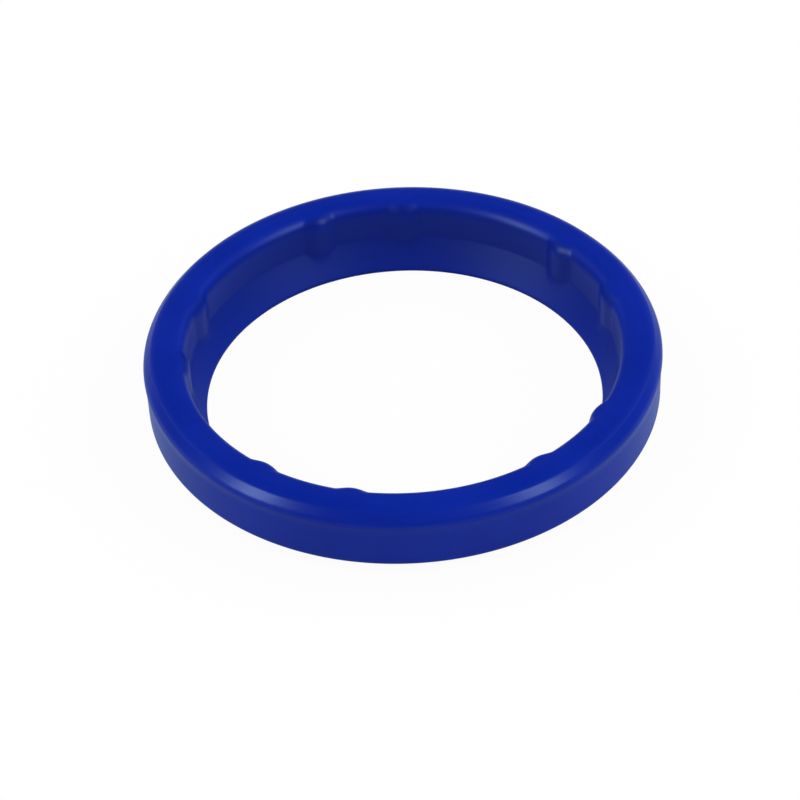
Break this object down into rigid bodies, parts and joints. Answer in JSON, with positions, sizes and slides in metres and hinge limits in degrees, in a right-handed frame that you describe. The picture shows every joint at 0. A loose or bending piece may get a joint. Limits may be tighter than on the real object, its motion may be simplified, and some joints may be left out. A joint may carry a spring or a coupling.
{
  "type": "scraper ring",
  "caption": "Blue moulded polyurethane rod scraper ring with a thick heel, paired half-round nubs on the heel's inner wall and a thin conical lip that wipes a hydraulic rod.",
  "frame": {"origin": "on the ring's axis, level with the end of the lip that it lies on", "axes": "+Z along the ring's axis, from the lip to the flat back of the heel"},
  "size_m": [0.0432, 0.0432, 0.0065],
  "materials": {
    "polyurethane": "satin moulded blue polyurethane"
  },
  "bodies": {
    "root": {"scraper_ring": "polyurethane"}
  },
  "joints": []
}
